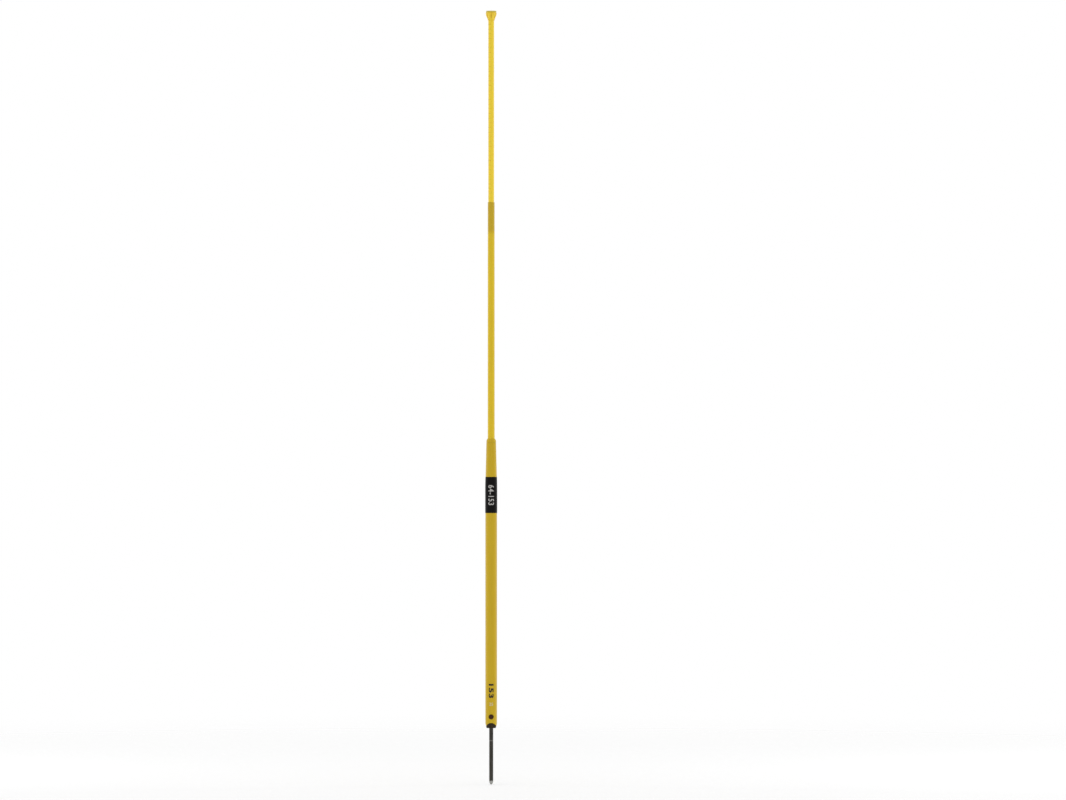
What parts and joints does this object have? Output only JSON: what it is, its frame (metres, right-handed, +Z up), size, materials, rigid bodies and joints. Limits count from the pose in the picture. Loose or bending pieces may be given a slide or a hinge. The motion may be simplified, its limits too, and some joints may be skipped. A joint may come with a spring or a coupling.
{
  "type": "telescoping slalom pole",
  "caption": "Telescoping slalom pole of sliding plastic tubes on a steel ground spike, with a fluted cap, a dark band and a snap button on the spike plug.",
  "frame": {"origin": "on the pole's axis at turf level, under the flat underside of the spike plug", "axes": "+Z up along the pole; the snap button and the print face the front, -Y"},
  "size_m": [0.0258, 0.0261, 1.649],
  "materials": {
    "yellow_tube": "extruded, glossy, slightly translucent",
    "yellow_moulding": "injection moulded, satin gloss",
    "black_film": "printed film sleeve, satin",
    "black_moulding": "injection moulded, fine texture",
    "dark_steel": "dark coated steel rod, worn bare at the tip",
    "spring_steel": "bright drawn wire"
  },
  "bodies": {
    "bottom_section": {"bottom_tube": "yellow_tube", "mouth_bush": "yellow_moulding", "band_sleeve": "black_film", "spike_plug": "black_moulding", "spike": "dark_steel", "spike_pin": "spring_steel", "button_spring": "spring_steel"},
    "button": {"snap_button": "black_moulding"},
    "middle_section": {"middle_tube": "yellow_tube", "lock_collar": "yellow_moulding", "middle_foot_plug": "yellow_moulding"},
    "upper_section": {"upper_tube": "yellow_tube", "upper_foot_plug": "yellow_moulding", "top_cap": "yellow_moulding"}
  },
  "joints": [
    {"name": "middle_slide", "type": "slide", "parent": "bottom_section", "child": "middle_section", "axis": [0, 0, 1], "range_m": [-0.504, 0]},
    {"name": "upper_slide", "type": "slide", "parent": "middle_section", "child": "upper_section", "axis": [0, 0, 1], "range_m": [-0.3877, 0]},
    {"name": "button_press", "type": "slide", "parent": "bottom_section", "child": "button", "axis": [0, 1, 0], "range_m": [0, 0.0025], "stiffness_N_per_m": 800, "springref_m": -0.002, "deforming": ["button_spring"]}
  ]
}
